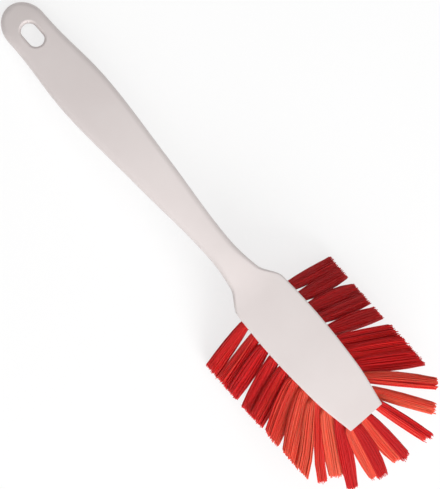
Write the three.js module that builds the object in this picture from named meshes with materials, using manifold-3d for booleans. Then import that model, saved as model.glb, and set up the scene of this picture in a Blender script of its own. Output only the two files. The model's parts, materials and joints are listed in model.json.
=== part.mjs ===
// Dish brush: a one-piece moulded handle and head, with bristle tufts held in blind sockets by
// flat wire anchors. Millimetres, +Z up. The brush lies on a table as it is put down: back upwards,
// resting on the end of the handle and on the rear pair of inner tufts, with the head leading along +X.
//
// The moulding is drawn level, with x running from the end of the handle to the scraper edge at the
// front of the head, y across it and z = 0 at the back of the head. The whole brush is then pitched
// into its resting pose.

import * as THREE from "three";
import { ParametricGeometry } from "three/addons/geometries/ParametricGeometry.js";
import { mergeVertices } from "three/addons/utils/BufferGeometryUtils.js";
import Module from "manifold-3d";

// Plan of the handle
const BODY_LENGTH = 248;
const END_LENGTH = 12;
const END_WIDTH = 20.7;
const GRIP_WIDTH = 24.6;
const GRIP_AT = 52;
const TAPER_WIDTH = 18.9;
const NECK_WIDTH = 12.5;
const NECK_TO_HEAD = 16;

// Plan of the head, measured back from the scraper edge
const HEAD_LENGTH = 85;
const HEAD_ROOT_WIDTH = 15.9;
const SHOULDER_LENGTH = 11.5;
const SHOULDER_WIDTH = 27.4;
const HEAD_WIDTH = 28.8;
const WIDEST_BEHIND_SCRAPER = 52;
const CHEEK_WIDTH = 26;
const CHEEK_BEHIND_SCRAPER = 22;
const SCRAPER_WIDTH = 19;

// Side view: heights of the back above the back of the head, and thicknesses below it
const HANG_FACE_DROP = 4.6;
const HANG_FACE_LENGTH = 36;
const END_THICKNESS = 6;
const SLOT_THICKNESS = 9;
const GRIP_RISE = 8.4;
const GRIP_THICKNESS = 10.8;
const CREST_PAST_GRIP = 30;
const NECK_RISE = 3.6;
const NECK_THICKNESS = 11.4;
const SCRAPER_DROP = 1.6;
const DROP_LENGTH = 38;
const BACK_CROWN = 0.3;
const EDGE_RADIUS = 3;
const MOST_ROUNDING_OF_THICKNESS = 0.45;
const MOST_ROUNDING_OF_HALF_WIDTH = 0.96;

// Head below its back
const RIM_HEIGHT = 4;
const RIM_EDGE_RADIUS = 1;
const BELLY_INSET = 7;
const HEAD_THICKNESS = 13;

// Hanging slot
const SLOT_LENGTH = 12.5;
const SLOT_WIDTH = 7.7;
const SLOT_FROM_END = 10.9;

// Ring of splayed tufts round the sides and front of the head
const RING_COUNT = 23;
const FRONT_COUNT = 3;
const RING_INSET = 2.1;
const RING_PAST_SHOULDER = 5.4;
const REAR_SPLAY = 41;
const SIDE_SPLAY = 42;
const SIDE_SHARE = 0.3;
const CHEEK_SPLAY = 57;
const CHEEK_SHARE = 0.68;
const FRONT_SPLAY = 43;
const REAR_LEAN = 12;
const SIDE_LEAN = 18;
const CORNER_LEAN = 59;
const CORNER_SHARE = 0.8;
const RING_TUFT_LENGTH = 39.5;

// Inner tufts under the middle of the head
const INNER_COLUMNS = 4;
const INNER_START_IN_RING_PITCHES = 0.5;
const INNER_PITCH_IN_RING_PITCHES = 2.1;
const INNER_PAIR_OFFSET = 3.6;
const INNER_SPLAY = 8;
const INNER_TUFT_LENGTH = 33;

// Cut tips of all the tufts
const TUFT_TIP_DIAMETER = 6.4;
const TIP_CLEARANCE = 0.8;

// Sockets and anchors
const SOCKET_DIAMETER = 4.4;
const RING_SOCKET_DEPTH = 6.5;
const INNER_SOCKET_DEPTH = 5.8;
const FIT_GAP = 0.3;
const ANCHOR_BITE = 0.6;
const ANCHOR_HEIGHT = 1.8;
const ANCHOR_THICKNESS = 0.5;
const FOLD_THICKNESS = 1.2;

// Fineness of the faceted surfaces
const CORNER_STEPS = 4;
const CROWN_STEPS = 4;
const CAP_STEPS = 6;
const HANDLE_STEP = 7;
const SHOULDER_STEP = 2.4;
const ROUND_SIDES = 16;
const TUFT_SIDES = 12;
const RING_LINE_STEPS = 80;
const MOUTH_OVERCUT = 6;
const SLOT_OVERCUT = 12;
const WELD = 1e-4;

// Searches for the ring's fan and for the resting pitch
const FAN_STEP = 0.25;
const STEEPEST_PITCH = 40;
const HALVINGS = 40;

const PLASTIC = new THREE.MeshStandardMaterial({ color: 0xe6dedb, roughness: 0.42, metalness: 0 });
const BRISTLE = new THREE.MeshStandardMaterial({ color: 0xc4161b, roughness: 0.38, metalness: 0 });
const STEEL = new THREE.MeshStandardMaterial({ color: 0xb9bcc0, roughness: 0.3, metalness: 1 });

const wasm = await Module();
wasm.setup();

const { clamp, degToRad, lerp } = THREE.MathUtils;

// Places along x that follow from the sizes
const headRoot = BODY_LENGTH - HEAD_LENGTH;
const shoulderEnd = headRoot + SHOULDER_LENGTH;
const bellyFront = BODY_LENGTH - BELLY_INSET;
const neckAt = headRoot - NECK_TO_HEAD;
const crestAt = GRIP_AT + CREST_PAST_GRIP;
const slotMiddle = SLOT_FROM_END + SLOT_LENGTH / 2;

// Ring tufts along each side of the head
const sideCount = (RING_COUNT - FRONT_COUNT) / 2;

// A smooth curve through stops [x, value] that never swings past a stop.
function profile(stops) {
  const slopes = stops.slice(1).map(([x, value], i) => (value - stops[i][1]) / (x - stops[i][0]));
  const tangents = stops.map((stop, i) => {
    const before = slopes[i - 1] ?? slopes[i];
    const after = slopes[i] ?? slopes[i - 1];
    return before * after <= 0 ? 0 : (2 * before * after) / (before + after);
  });
  const last = stops.length - 1;
  return (x) => {
    if (x <= stops[0][0]) return stops[0][1];
    if (x >= stops[last][0]) return stops[last][1];
    const i = stops.findIndex(([stop]) => stop > x) - 1;
    const span = stops[i + 1][0] - stops[i][0];
    const t = (x - stops[i][0]) / span;
    const ease = t * t * (3 - 2 * t);
    const leave = t * (1 - t) * (1 - t) * span * tangents[i];
    const arrive = t * t * (1 - t) * span * tangents[i + 1];
    return lerp(stops[i][1], stops[i + 1][1], ease) + leave - arrive;
  };
}

// Width of the plan, before the end is rounded off.
const planWidth = profile([
  [0, END_WIDTH],
  [slotMiddle, END_WIDTH],
  [GRIP_AT, GRIP_WIDTH],
  [(GRIP_AT + neckAt) / 2, TAPER_WIDTH],
  [neckAt, NECK_WIDTH],
  [headRoot, HEAD_ROOT_WIDTH],
  [shoulderEnd, SHOULDER_WIDTH],
  [BODY_LENGTH - WIDEST_BEHIND_SCRAPER, HEAD_WIDTH],
  [BODY_LENGTH - CHEEK_BEHIND_SCRAPER, CHEEK_WIDTH],
  [BODY_LENGTH, SCRAPER_WIDTH],
]);

// Height of the back at the edges of its crown.
const backHeight = profile([
  [0, END_THICKNESS - HANG_FACE_DROP],
  [slotMiddle, SLOT_THICKNESS - HANG_FACE_DROP],
  [crestAt, GRIP_RISE],
  [neckAt, NECK_RISE],
  [shoulderEnd, 0],
  [BODY_LENGTH - DROP_LENGTH, 0],
  [BODY_LENGTH, -SCRAPER_DROP],
]);

// Height of the underside, before it is rounded up to the scraper edge.
const keelHeight = profile([
  [0, -HANG_FACE_DROP],
  [HANG_FACE_LENGTH, -HANG_FACE_DROP],
  [crestAt, GRIP_RISE - GRIP_THICKNESS],
  [neckAt, NECK_RISE - NECK_THICKNESS],
  [shoulderEnd, -HEAD_THICKNESS],
  [bellyFront, -HEAD_THICKNESS],
]);

// How much a section is shaped as the head: 0 up to the neck and 1 past the shoulder.
const headShare = profile([
  [neckAt, 0],
  [shoulderEnd, 1],
]);

// How far a ring tuft leans out from straight down, by its share of the way from the rear to the front.
const ringSplay = profile([
  [0, REAR_SPLAY],
  [SIDE_SHARE, SIDE_SPLAY],
  [CHEEK_SHARE, CHEEK_SPLAY],
  [1, FRONT_SPLAY],
]);

// How far a ring tuft turns in plan from sideways towards the front, by the same share.
const ringLean = profile([
  [0, REAR_LEAN],
  [SIDE_SHARE, SIDE_LEAN],
  [CORNER_SHARE, CORNER_LEAN],
  [1, 90],
]);

// Angles that step through a quarter turn and end on it.
function quarterTurns(steps) {
  return Array.from({ length: steps }, (_, i) => ((i + 1) / steps) * (Math.PI / 2));
}

function halfWidth(x) {
  const beforeRound = clamp(1 - x / END_LENGTH, 0, 1);
  return (planWidth(x) / 2) * Math.sqrt(1 - beforeRound ** 2);
}

function undersideHeight(x) {
  const rimBottom = backHeight(x) - RIM_HEIGHT;
  const pastBelly = clamp((x - bellyFront) / BELLY_INSET, 0, 1);
  return lerp(rimBottom, keelHeight(x), Math.sqrt(1 - pastBelly ** 2));
}

// The section at x: its half width, back and underside, and how far its edges are rounded.
function sectionAt(x) {
  const half = halfWidth(x);
  const back = backHeight(x);
  const bottom = undersideHeight(x);
  const share = headShare(x);
  const rounding = Math.min(
    EDGE_RADIUS,
    MOST_ROUNDING_OF_THICKNESS * (back - bottom),
    MOST_ROUNDING_OF_HALF_WIDTH * half,
  );
  return {
    x,
    half,
    back,
    bottom,
    topRadius: lerp(rounding, RIM_EDGE_RADIUS, share),
    lowInset: lerp(rounding, BELLY_INSET, share),
    lowRise: lerp(rounding, back - bottom - RIM_HEIGHT, share),
  };
}

// Outline of a section as [y, z]: up the +y side from the flat bottom, across the crowned back and down
// the other side.
function sectionOutline({ half, back, bottom, topRadius, lowInset, lowRise }) {
  const turns = [0, ...quarterTurns(CORNER_STEPS)];
  const side = [
    ...turns.map((a) => [half - lowInset * (1 - Math.sin(a)), bottom + lowRise * (1 - Math.cos(a))]),
    ...turns.map((a) => [half - topRadius * (1 - Math.cos(a)), back - topRadius * (1 - Math.sin(a))]),
  ];
  const crown = [];
  for (let i = 1; i < CROWN_STEPS; i++) {
    const across = 1 - (2 * i) / CROWN_STEPS;
    const rise = BACK_CROWN * Math.min(1, half / END_LENGTH) * (1 - across ** 2);
    crown.push([(half - topRadius) * across, back + rise]);
  }
  const otherSide = side.map(([y, z]) => [-y, z]).reverse();
  return [...side, ...crown, ...otherSide];
}

// Places along x where the moulding has a section: close together where its outline turns.
function sectionPlaces() {
  const turns = quarterTurns(CAP_STEPS);
  const places = turns.map((a) => END_LENGTH * (1 - Math.cos(a)));
  const runs = [
    [END_LENGTH, HANG_FACE_LENGTH, HANDLE_STEP],
    [HANG_FACE_LENGTH, headRoot - SHOULDER_LENGTH / 2, HANDLE_STEP],
    [headRoot - SHOULDER_LENGTH / 2, shoulderEnd, SHOULDER_STEP],
    [shoulderEnd, bellyFront, HANDLE_STEP],
  ];
  for (const [from, to, step] of runs) {
    const count = Math.ceil((to - from) / step);
    for (let i = 1; i <= count; i++) places.push(lerp(from, to, i / count));
  }
  return [...places, ...turns.map((a) => bellyFront + BELLY_INSET * Math.sin(a))];
}

// The moulding before it is cut: a skin over its sections, closed by a fan to the middle of each end.
function mouldingSkin() {
  const sections = sectionPlaces().map(sectionAt);
  const middles = sections.map(({ x, back, bottom }) => [x, 0, (back + bottom) / 2]);
  const rings = sections.map((section) => sectionOutline(section).map(([y, z]) => [section.x, y, z]));
  const sides = rings[0].length;
  const rows = [Array(sides).fill(middles[0]), ...rings, Array(sides).fill(middles.at(-1))];
  const stacks = rows.length - 1;
  const pointAt = (u, v, target) => {
    const row = rows[Math.round(v * stacks)];
    target.set(...row[Math.round(u * sides) % sides]);
  };
  return new ParametricGeometry(pointAt, sides, stacks);
}

// A closed geometry as a solid that can be joined and cut, moved by a matrix where one is given.
function solid(geometry, matrix = new THREE.Matrix4()) {
  const bare = geometry.clone().deleteAttribute("normal").deleteAttribute("uv").applyMatrix4(matrix);
  const welded = mergeVertices(bare, WELD);
  const corners = welded.index.array;
  const kept = [];
  for (let i = 0; i < corners.length; i += 3) {
    const [a, b, c] = corners.slice(i, i + 3);
    if (a !== b && b !== c && c !== a) kept.push(a, b, c);
  }
  const vertProperties = new Float32Array(welded.getAttribute("position").array);
  const triVerts = new Uint32Array(kept);
  return new wasm.Manifold(new wasm.Mesh({ numProp: 3, vertProperties, triVerts }));
}

// A solid as a geometry for a mesh.
function geometryOf(made) {
  const { vertProperties, triVerts } = made.getMesh();
  const geometry = new THREE.BufferGeometry()
    .setAttribute("position", new THREE.BufferAttribute(vertProperties, 3))
    .setIndex(new THREE.BufferAttribute(triVerts, 1));
  geometry.computeVertexNormals();
  return geometry;
}

function mesh(name, geometry, material) {
  const made = new THREE.Mesh(geometry, material);
  made.name = name;
  return made;
}

// A place on the underside of the head.
function onBelly(x, y) {
  const { half, bottom, lowInset, lowRise } = sectionAt(x);
  const out = clamp((Math.abs(y) - (half - lowInset)) / lowInset, 0, 1);
  return new THREE.Vector3(x, y, bottom + lowRise * (1 - Math.sqrt(1 - out ** 2)));
}

// The line in plan that the sockets of the +y side follow, from the rear to the front corner.
function sideLine() {
  const from = shoulderEnd + RING_PAST_SHOULDER;
  const to = BODY_LENGTH - RING_INSET;
  const points = [];
  for (let i = 0; i <= RING_LINE_STEPS; i++) {
    const x = lerp(from, to, i / RING_LINE_STEPS);
    points.push(new THREE.Vector2(x, halfWidth(x) - RING_INSET));
  }
  const line = new THREE.CurvePath();
  points.slice(1).forEach((point, i) => line.add(new THREE.LineCurve(points[i], point)));
  return line;
}

// Places of the ring's sockets in plan: up the +y side, from corner to corner across the front and back
// down the -y side.
function ringPlaces(line) {
  const side = Array.from({ length: sideCount }, (_, i) => line.getPoint(i / sideCount));
  const corner = line.getPoint(1);
  const front = Array.from({ length: FRONT_COUNT }, (_, i) => {
    return new THREE.Vector2(corner.x, lerp(corner.y, -corner.y, i / (FRONT_COUNT - 1)));
  });
  const otherSide = side.map(({ x, y }) => new THREE.Vector2(x, -y)).reverse();
  return [...side, ...front, ...otherSide];
}

// The way that a ring tuft of the +y half leads, by its share of the way to the front and its lean.
function ringWay(share, lean) {
  const forward = degToRad(lean);
  const fall = -1 / Math.tan(degToRad(ringSplay(share)));
  return new THREE.Vector3(Math.sin(forward), Math.cos(forward), fall).normalize();
}

// The gap between the tips of two neighbouring ring tufts, measured across the second one.
function tipGap(mouth, way, nextMouth, nextWay) {
  const tip = mouth.clone().addScaledVector(way, RING_TUFT_LENGTH);
  const nextAxis = new THREE.Ray(nextMouth, nextWay);
  return Math.sqrt(nextAxis.distanceSqToPoint(tip)) - TUFT_TIP_DIAMETER;
}

// Ways of the ring tufts of the +y half, from the rear to the middle of the front. In plan they fan from
// nearly sideways to straight ahead. A tip that would come too near the next one turns further back.
function ringWays(mouths) {
  const middle = (RING_COUNT - 1) / 2;
  const ways = [ringWay(1, ringLean(1))];
  for (let i = middle - 1; i >= 0; i--) {
    const share = i / middle;
    let lean = ringLean(share);
    while (tipGap(mouths[i], ringWay(share, lean), mouths[i + 1], ways[0]) < TIP_CLEARANCE) {
      lean -= FAN_STEP;
    }
    ways.unshift(ringWay(share, lean));
  }
  return ways;
}

// Sites of the ring tufts, the -y half a mirror image of the +y half.
function ringSites(line) {
  const last = RING_COUNT - 1;
  const mouths = ringPlaces(line).map(({ x, y }) => onBelly(x, y));
  const ways = ringWays(mouths);
  return mouths.map((mouth, i) => {
    const along = ways[Math.min(i, last - i)].clone();
    along.y *= Math.sign(last - 2 * i);
    let name = `front_${i - sideCount + 1}`;
    if (i < sideCount) name = `left_${i + 1}`;
    if (last - i < sideCount) name = `right_${last - i + 1}`;
    return {
      name,
      mouth,
      along,
      anchorAlong: new THREE.Vector3(0, 0, 1),
      depth: RING_SOCKET_DEPTH,
      length: RING_TUFT_LENGTH,
    };
  });
}

// Sites of the inner tufts: columns of two and of one in turn, from the rear of the ring to its front.
function innerSites(line) {
  const pitch = line.getLength() / sideCount;
  const sites = [];
  for (let column = 0; column < INNER_COLUMNS; column++) {
    const pitches = INNER_START_IN_RING_PITCHES + INNER_PITCH_IN_RING_PITCHES * column;
    const x = shoulderEnd + RING_PAST_SHOULDER + pitch * pitches;
    for (const side of column % 2 ? [0] : [1, -1]) {
      const splay = degToRad(INNER_SPLAY * side);
      sites.push({
        name: `inner_${sites.length + 1}`,
        mouth: onBelly(x, INNER_PAIR_OFFSET * side),
        along: new THREE.Vector3(0, Math.sin(splay), -Math.cos(splay)),
        anchorAlong: new THREE.Vector3(1, 0, 0),
        depth: INNER_SOCKET_DEPTH,
        length: INNER_TUFT_LENGTH,
      });
    }
  }
  return sites;
}

// A group at the mouth of a socket: its y leads out along the tuft and its x lies along the anchor.
function siteGroup({ mouth, along, anchorAlong }) {
  const across = anchorAlong.clone().projectOnPlane(along).normalize();
  const basis = new THREE.Matrix4().makeBasis(across, along, across.clone().cross(along));
  const group = new THREE.Group();
  group.position.copy(mouth);
  group.quaternion.setFromRotationMatrix(basis);
  group.updateMatrix();
  return group;
}

// The anchor, or with a gap the room that it needs. The folded filaments lie between it and the floor
// of the socket.
function anchorBox(depth, gap) {
  const below = depth - FIT_GAP - FOLD_THICKNESS - ANCHOR_HEIGHT / 2;
  const length = SOCKET_DIAMETER + 2 * ANCHOR_BITE;
  const [x, y, z] = [length, ANCHOR_HEIGHT, ANCHOR_THICKNESS].map((size) => size + 2 * gap);
  return new THREE.BoxGeometry(x, y, z).translate(0, -below, 0);
}

// A socket, with the grooves that its anchor bites into its wall.
function socketCut({ depth }, matrix) {
  const radius = SOCKET_DIAMETER / 2;
  const length = depth + MOUTH_OVERCUT;
  const bore = new THREE.CylinderGeometry(radius, radius, length, ROUND_SIDES);
  bore.translate(0, MOUTH_OVERCUT - length / 2, 0);
  return solid(bore, matrix).add(solid(anchorBox(depth, FIT_GAP), matrix));
}

// The hanging slot, through the end of the handle.
function slotCut() {
  const radius = SLOT_WIDTH / 2;
  const outline = new THREE.Shape()
    .absarc(SLOT_FROM_END + radius, 0, radius, Math.PI / 2, (3 * Math.PI) / 2)
    .absarc(SLOT_FROM_END + SLOT_LENGTH - radius, 0, radius, -Math.PI / 2, Math.PI / 2);
  const depth = SLOT_THICKNESS + 2 * SLOT_OVERCUT;
  const options = { depth, bevelEnabled: false, curveSegments: ROUND_SIDES / 2 };
  const cut = new THREE.ExtrudeGeometry(outline, options);
  return solid(cut.translate(0, 0, -HANG_FACE_DROP - SLOT_OVERCUT));
}

function handleAndHead(sites, groups) {
  let made = solid(mouldingSkin()).subtract(slotCut());
  sites.forEach((site, i) => {
    made = made.subtract(socketCut(site, groups[i].matrix));
  });
  return mesh("handle_and_head", geometryOf(made), PLASTIC);
}

// A bundle of filaments folded round its anchor, flaring from the socket to its cut tip.
function tuft({ name, depth, length }) {
  const root = SOCKET_DIAMETER / 2 - FIT_GAP;
  const outline = [
    new THREE.Vector2(0, FIT_GAP - depth),
    new THREE.Vector2(root, FIT_GAP - depth),
    new THREE.Vector2(root, 0),
    new THREE.Vector2(TUFT_TIP_DIAMETER / 2, length),
    new THREE.Vector2(0, length),
  ];
  const bundle = solid(new THREE.LatheGeometry(outline, TUFT_SIDES));
  return mesh(`tuft_${name}`, geometryOf(bundle.subtract(solid(anchorBox(depth, FIT_GAP)))), BRISTLE);
}

function anchor({ name, depth }) {
  return mesh(`anchor_${name}`, anchorBox(depth, 0), STEEL);
}

// Height of the lowest point of some meshes once the brush is pitched.
function lowest(meshes, pitch) {
  const turn = new THREE.Matrix4().makeRotationY(pitch);
  const point = new THREE.Vector3();
  let low = Infinity;
  for (const { geometry, matrixWorld } of meshes) {
    const matrix = turn.clone().multiply(matrixWorld);
    const corners = geometry.getAttribute("position");
    for (let i = 0; i < corners.count; i++) {
      low = Math.min(low, point.fromBufferAttribute(corners, i).applyMatrix4(matrix).z);
    }
  }
  return low;
}

// The pitch at which the end of the handle and the tufts touch the table together, found by halving.
function restingPitch(handle, tufts) {
  let steep = degToRad(-STEEPEST_PITCH);
  let shallow = 0;
  for (let i = 0; i < HALVINGS; i++) {
    const pitch = (steep + shallow) / 2;
    if (lowest([handle], pitch) > lowest(tufts, pitch)) shallow = pitch;
    else steep = pitch;
  }
  return steep;
}

const side = sideLine();
const sites = [...ringSites(side), ...innerSites(side)];
const groups = sites.map(siteGroup);
const handle = handleAndHead(sites, groups);
const tufts = sites.map(tuft);

const lying = new THREE.Group().add(handle);
sites.forEach((site, i) => lying.add(groups[i].add(tufts[i], anchor(site))));
lying.updateMatrixWorld(true);
lying.rotation.y = restingPitch(handle, tufts);

// The origin is under the middle of the brush, on the table.
const brush = new THREE.Group().add(lying);
const box = new THREE.Box3().setFromObject(brush, true);
lying.position.set(-(box.min.x + box.max.x) / 2, -(box.min.y + box.max.y) / 2, -box.min.z);

export default brush;
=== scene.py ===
"""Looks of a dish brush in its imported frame: a moulded handle and head, and tufts of single filaments.

The moulding is drawn level, in millimetres: x runs from the end of the handle to the scraper edge, y to the
left and z up from the back of the head. The record's scraper mount says how the level brush lies in the
frame.
"""

import json
import logging
import math
import random
from collections.abc import Iterator
from contextlib import contextmanager
from dataclasses import dataclass, field
from enum import Enum

import bmesh
import bpy
from mathutils import Matrix, Vector


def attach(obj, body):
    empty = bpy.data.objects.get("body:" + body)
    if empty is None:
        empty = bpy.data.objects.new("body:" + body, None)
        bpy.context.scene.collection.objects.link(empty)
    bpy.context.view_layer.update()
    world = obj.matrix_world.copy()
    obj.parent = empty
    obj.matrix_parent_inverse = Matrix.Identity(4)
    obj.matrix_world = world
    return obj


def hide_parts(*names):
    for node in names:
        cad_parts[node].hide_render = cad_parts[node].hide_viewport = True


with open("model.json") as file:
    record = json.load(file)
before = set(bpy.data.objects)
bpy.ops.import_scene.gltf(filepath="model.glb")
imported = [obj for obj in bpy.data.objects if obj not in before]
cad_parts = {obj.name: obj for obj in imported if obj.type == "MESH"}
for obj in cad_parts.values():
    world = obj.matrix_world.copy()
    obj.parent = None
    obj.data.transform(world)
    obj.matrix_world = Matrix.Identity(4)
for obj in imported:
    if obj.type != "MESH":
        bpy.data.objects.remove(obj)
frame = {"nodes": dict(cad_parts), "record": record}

LOG = logging.getLogger("dish_brush")
MM = 0.001
BODY = "root"

WHITE = (1, 1, 1, 1)
INNER_TUFTS = 6

Colour = tuple[float, float, float]
Point = tuple[float, float]


class Slot(Enum):
    """Names of the record's material slots."""

    PLASTIC = "white_plastic"
    BRISTLE = "red_bristle"


class Row(Enum):
    """Which part of the head a tuft stands in, as its node's name says."""

    LEFT = "left"
    FRONT = "front"
    RIGHT = "right"
    INNER = "inner"


def deselect_all() -> None:
    """Deselects every object, so that an operator acts on new pieces only."""
    for thing in bpy.context.selected_objects:
        thing.select_set(False)


def make_active(piece: bpy.types.Object) -> None:
    """Selects one object alone and makes it active.

    Args:
        piece: The object.
    """
    deselect_all()
    piece.select_set(True)
    bpy.context.view_layer.objects.active = piece


def ring_start(sides: int) -> bpy.types.Object:
    """Adds a filled circle of radius 1 that faces along z.

    Args:
        sides: How many corners the circle has.

    Returns:
        The circle's object, selected and active.
    """
    deselect_all()
    bpy.ops.mesh.primitive_circle_add(vertices=sides, radius=1.0, fill_type="NGON", location=(0, 0, 0))
    return bpy.context.object


@contextmanager
def editing(piece: bpy.types.Object) -> Iterator[None]:
    """Opens an object's mesh in edit mode with all of it selected, and closes it again.

    Args:
        piece: The object.

    Returns:
        The context in which the mesh is open.
    """
    make_active(piece)
    bpy.ops.object.mode_set(mode="EDIT")
    bpy.ops.mesh.select_all(action="SELECT")
    yield
    bpy.ops.object.mode_set(mode="OBJECT")


def extrude_rings(piece: bpy.types.Object, count: int) -> None:
    """Extrudes a filled circle along z into a closed tube of rings one unit apart.

    Args:
        piece: The circle.
        count: How many rings the tube has, its two ends included.
    """
    with editing(piece):
        for _ in range(count - 1):
            bpy.ops.mesh.extrude_region_move(TRANSFORM_OT_translate={"value": (0, 0, 1)})
        bpy.ops.mesh.select_all(action="SELECT")
        bpy.ops.mesh.normals_make_consistent(inside=False)


def shape_rings(piece: bpy.types.Object, rings: list[list[Vector]]) -> None:
    """Moves each corner of an extruded tube to its place on its ring's outline.

    Args:
        piece: The tube from extrude_rings.
        rings: For each ring, its outline's points.
    """
    sides = len(rings[0])
    for vertex in piece.data.vertices:
        turn = math.atan2(vertex.co.y, vertex.co.x) / (2 * math.pi)
        vertex.co = rings[round(vertex.co.z)][round(turn * sides) % sides]
    with editing(piece):
        bpy.ops.mesh.normals_make_consistent(inside=False)


def make_triangles(piece: bpy.types.Object) -> None:
    """Splits every face of an object into triangles, so that none is bent."""
    with editing(piece):
        bpy.ops.mesh.quads_convert_to_tris(quad_method="BEAUTY", ngon_method="BEAUTY")


def merge_corners(piece: bpy.types.Object, nearness: float) -> None:
    """Merges the corners that a cut left almost in one place.

    Args:
        piece: The object that was cut.
        nearness: How near to each other the corners are, in the mesh's own unit.
    """
    with editing(piece):
        bpy.ops.mesh.remove_doubles(threshold=nearness)
        bpy.ops.mesh.dissolve_degenerate(threshold=nearness)


def join(pieces: list[bpy.types.Object]) -> bpy.types.Object:
    """Joins objects into the first of them, with their places in its mesh.

    Args:
        pieces: The objects.

    Returns:
        The joined object.
    """
    make_active(pieces[0])
    for piece in pieces:
        piece.select_set(True)
    bpy.ops.object.transform_apply(location=True, rotation=True, scale=True)
    bpy.ops.object.join()
    return pieces[0]


def cut(piece: bpy.types.Object, cutter: bpy.types.Object) -> None:
    """Cuts one object out of another and removes the cutter.

    Args:
        piece: The object that is cut.
        cutter: A closed object.
    """
    make_triangles(cutter)
    make_triangles(piece)
    modifier = piece.modifiers.new("cut", "BOOLEAN")
    modifier.operation = "DIFFERENCE"
    modifier.solver = "EXACT"
    modifier.object = cutter
    bpy.ops.object.modifier_apply(modifier=modifier.name)
    bpy.data.objects.remove(cutter)


@dataclass(frozen=True)
class Profile:
    """A smooth curve through stops that never swings past a stop."""

    stops: tuple[Point, ...]

    def _tangent(self, i: int) -> float:
        """Finds the slope at a stop, which is level where the curve turns round.

        Args:
            i: The stop's number.

        Returns:
            The slope.
        """
        slopes = []
        for a, b in ((i - 1, i), (i, i + 1)):
            if 0 <= a and b < len(self.stops):
                slopes.append((self.stops[b][1] - self.stops[a][1]) / (self.stops[b][0] - self.stops[a][0]))
        before, after = slopes[0], slopes[-1]
        return 0.0 if before * after <= 0 else 2 * before * after / (before + after)

    def __call__(self, x: float) -> float:
        """Finds the curve's value.

        Args:
            x: Where along the curve.

        Returns:
            The value, which past either end is that of the last stop.
        """
        if x <= self.stops[0][0]:
            return self.stops[0][1]
        if x >= self.stops[-1][0]:
            return self.stops[-1][1]
        i = max(k for k, stop in enumerate(self.stops) if stop[0] <= x)
        (start, low), (end, high) = self.stops[i], self.stops[i + 1]
        span = end - start
        t = (x - start) / span
        ease = t * t * (3 - 2 * t)
        leave = t * (1 - t) ** 2 * span * self._tangent(i)
        arrive = t * t * (1 - t) * span * self._tangent(i + 1)
        return low + (high - low) * ease + leave - arrive


def between(low: float, high: float, share: float) -> float:
    """Returns the value that lies a share of the way from low to high."""
    return low + (high - low) * share


def arch(share: float) -> float:
    """Returns the height of a bow at a share of its length: 0 at both ends and 1 in the middle."""
    return 4 * share * (1 - share)


def quarter_turns(steps: int) -> list[float]:
    """Returns angles that step through a quarter turn, from one step to its end."""
    return [(i + 1) / steps * math.pi / 2 for i in range(steps)]


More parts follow.
